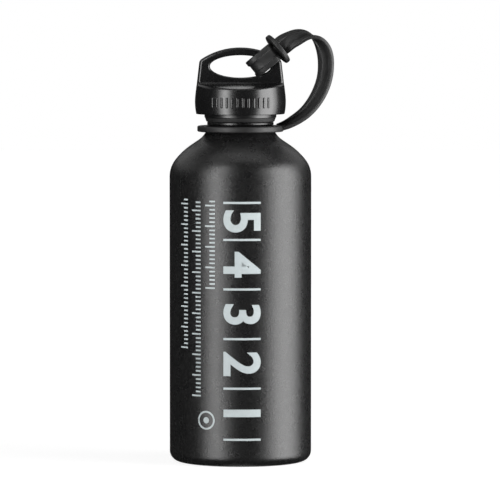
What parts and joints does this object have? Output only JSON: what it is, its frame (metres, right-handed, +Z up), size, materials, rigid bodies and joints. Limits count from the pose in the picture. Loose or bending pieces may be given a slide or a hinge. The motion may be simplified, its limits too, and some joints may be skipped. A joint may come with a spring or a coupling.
{
  "type": "fuel bottle",
  "caption": "Slim round metal fuel bottle with a domed shoulder, a push-and-turn screw cap with a flat holed handle, and a rubber strap that leashes the cap to the neck.",
  "frame": {"origin": "centre of the foot ring that the bottle stands on, on its long axis", "axes": "+Z up the bottle's long axis to the cap; -Y out of the front, which the flat handle faces; +X to the side that the strap arches over"},
  "size_m": [0.0846, 0.073, 0.2228],
  "materials": {
    "bottle": "satin black paint outside, bare aluminium inside",
    "seal": "matte",
    "inner_cap": "gloss",
    "spring": "bright",
    "outer_cap": "gloss",
    "leash": "dull moulded rubber"
  },
  "bodies": {
    "bottle": {"bottle_shell": "bottle"},
    "seal": {"cap_seal": "seal"},
    "inner": {"inner_cap": "inner_cap"},
    "leash": {"leash_ring": "leash"},
    "carrier": {"press_spring": "spring", "leash_strap": "leash"},
    "outer": {"outer_cap": "outer_cap", "strap_loop": "leash", "keeper_disc": "leash"}
  },
  "joints": [
    {"name": "cap_lift", "type": "slide", "parent": "bottle", "child": "seal", "axis": [0, 0, 1], "range_m": [0, 0.012]},
    {"name": "cap_turn", "type": "hinge", "parent": "seal", "child": "inner", "pos_m": [0, 0, 0.1772], "axis": [0, 0, 1], "range_deg": [0, 1440]},
    {"name": "leash_spin", "type": "hinge", "parent": "bottle", "child": "leash", "pos_m": [0, 0, 0.17155], "axis": [0, 0, 1], "continuous": true},
    {"name": "shell_lift", "type": "slide", "parent": "leash", "child": "carrier", "axis": [0, 0, 1], "range_m": [0, 0.012], "deforming": ["leash_strap"]},
    {"name": "press", "type": "slide", "parent": "carrier", "child": "outer", "axis": [0, 0, 1], "range_m": [-0.0015, 0], "stiffness_N_per_m": 1500, "springref_m": 0.0006, "deforming": ["press_spring"]}
  ],
  "couplings": [
    {"joint": "cap_turn", "follows": "cap_lift", "rad_per_m": 2094.4},
    {"joint": "shell_lift", "follows": "cap_lift", "ratio": 1}
  ]
}
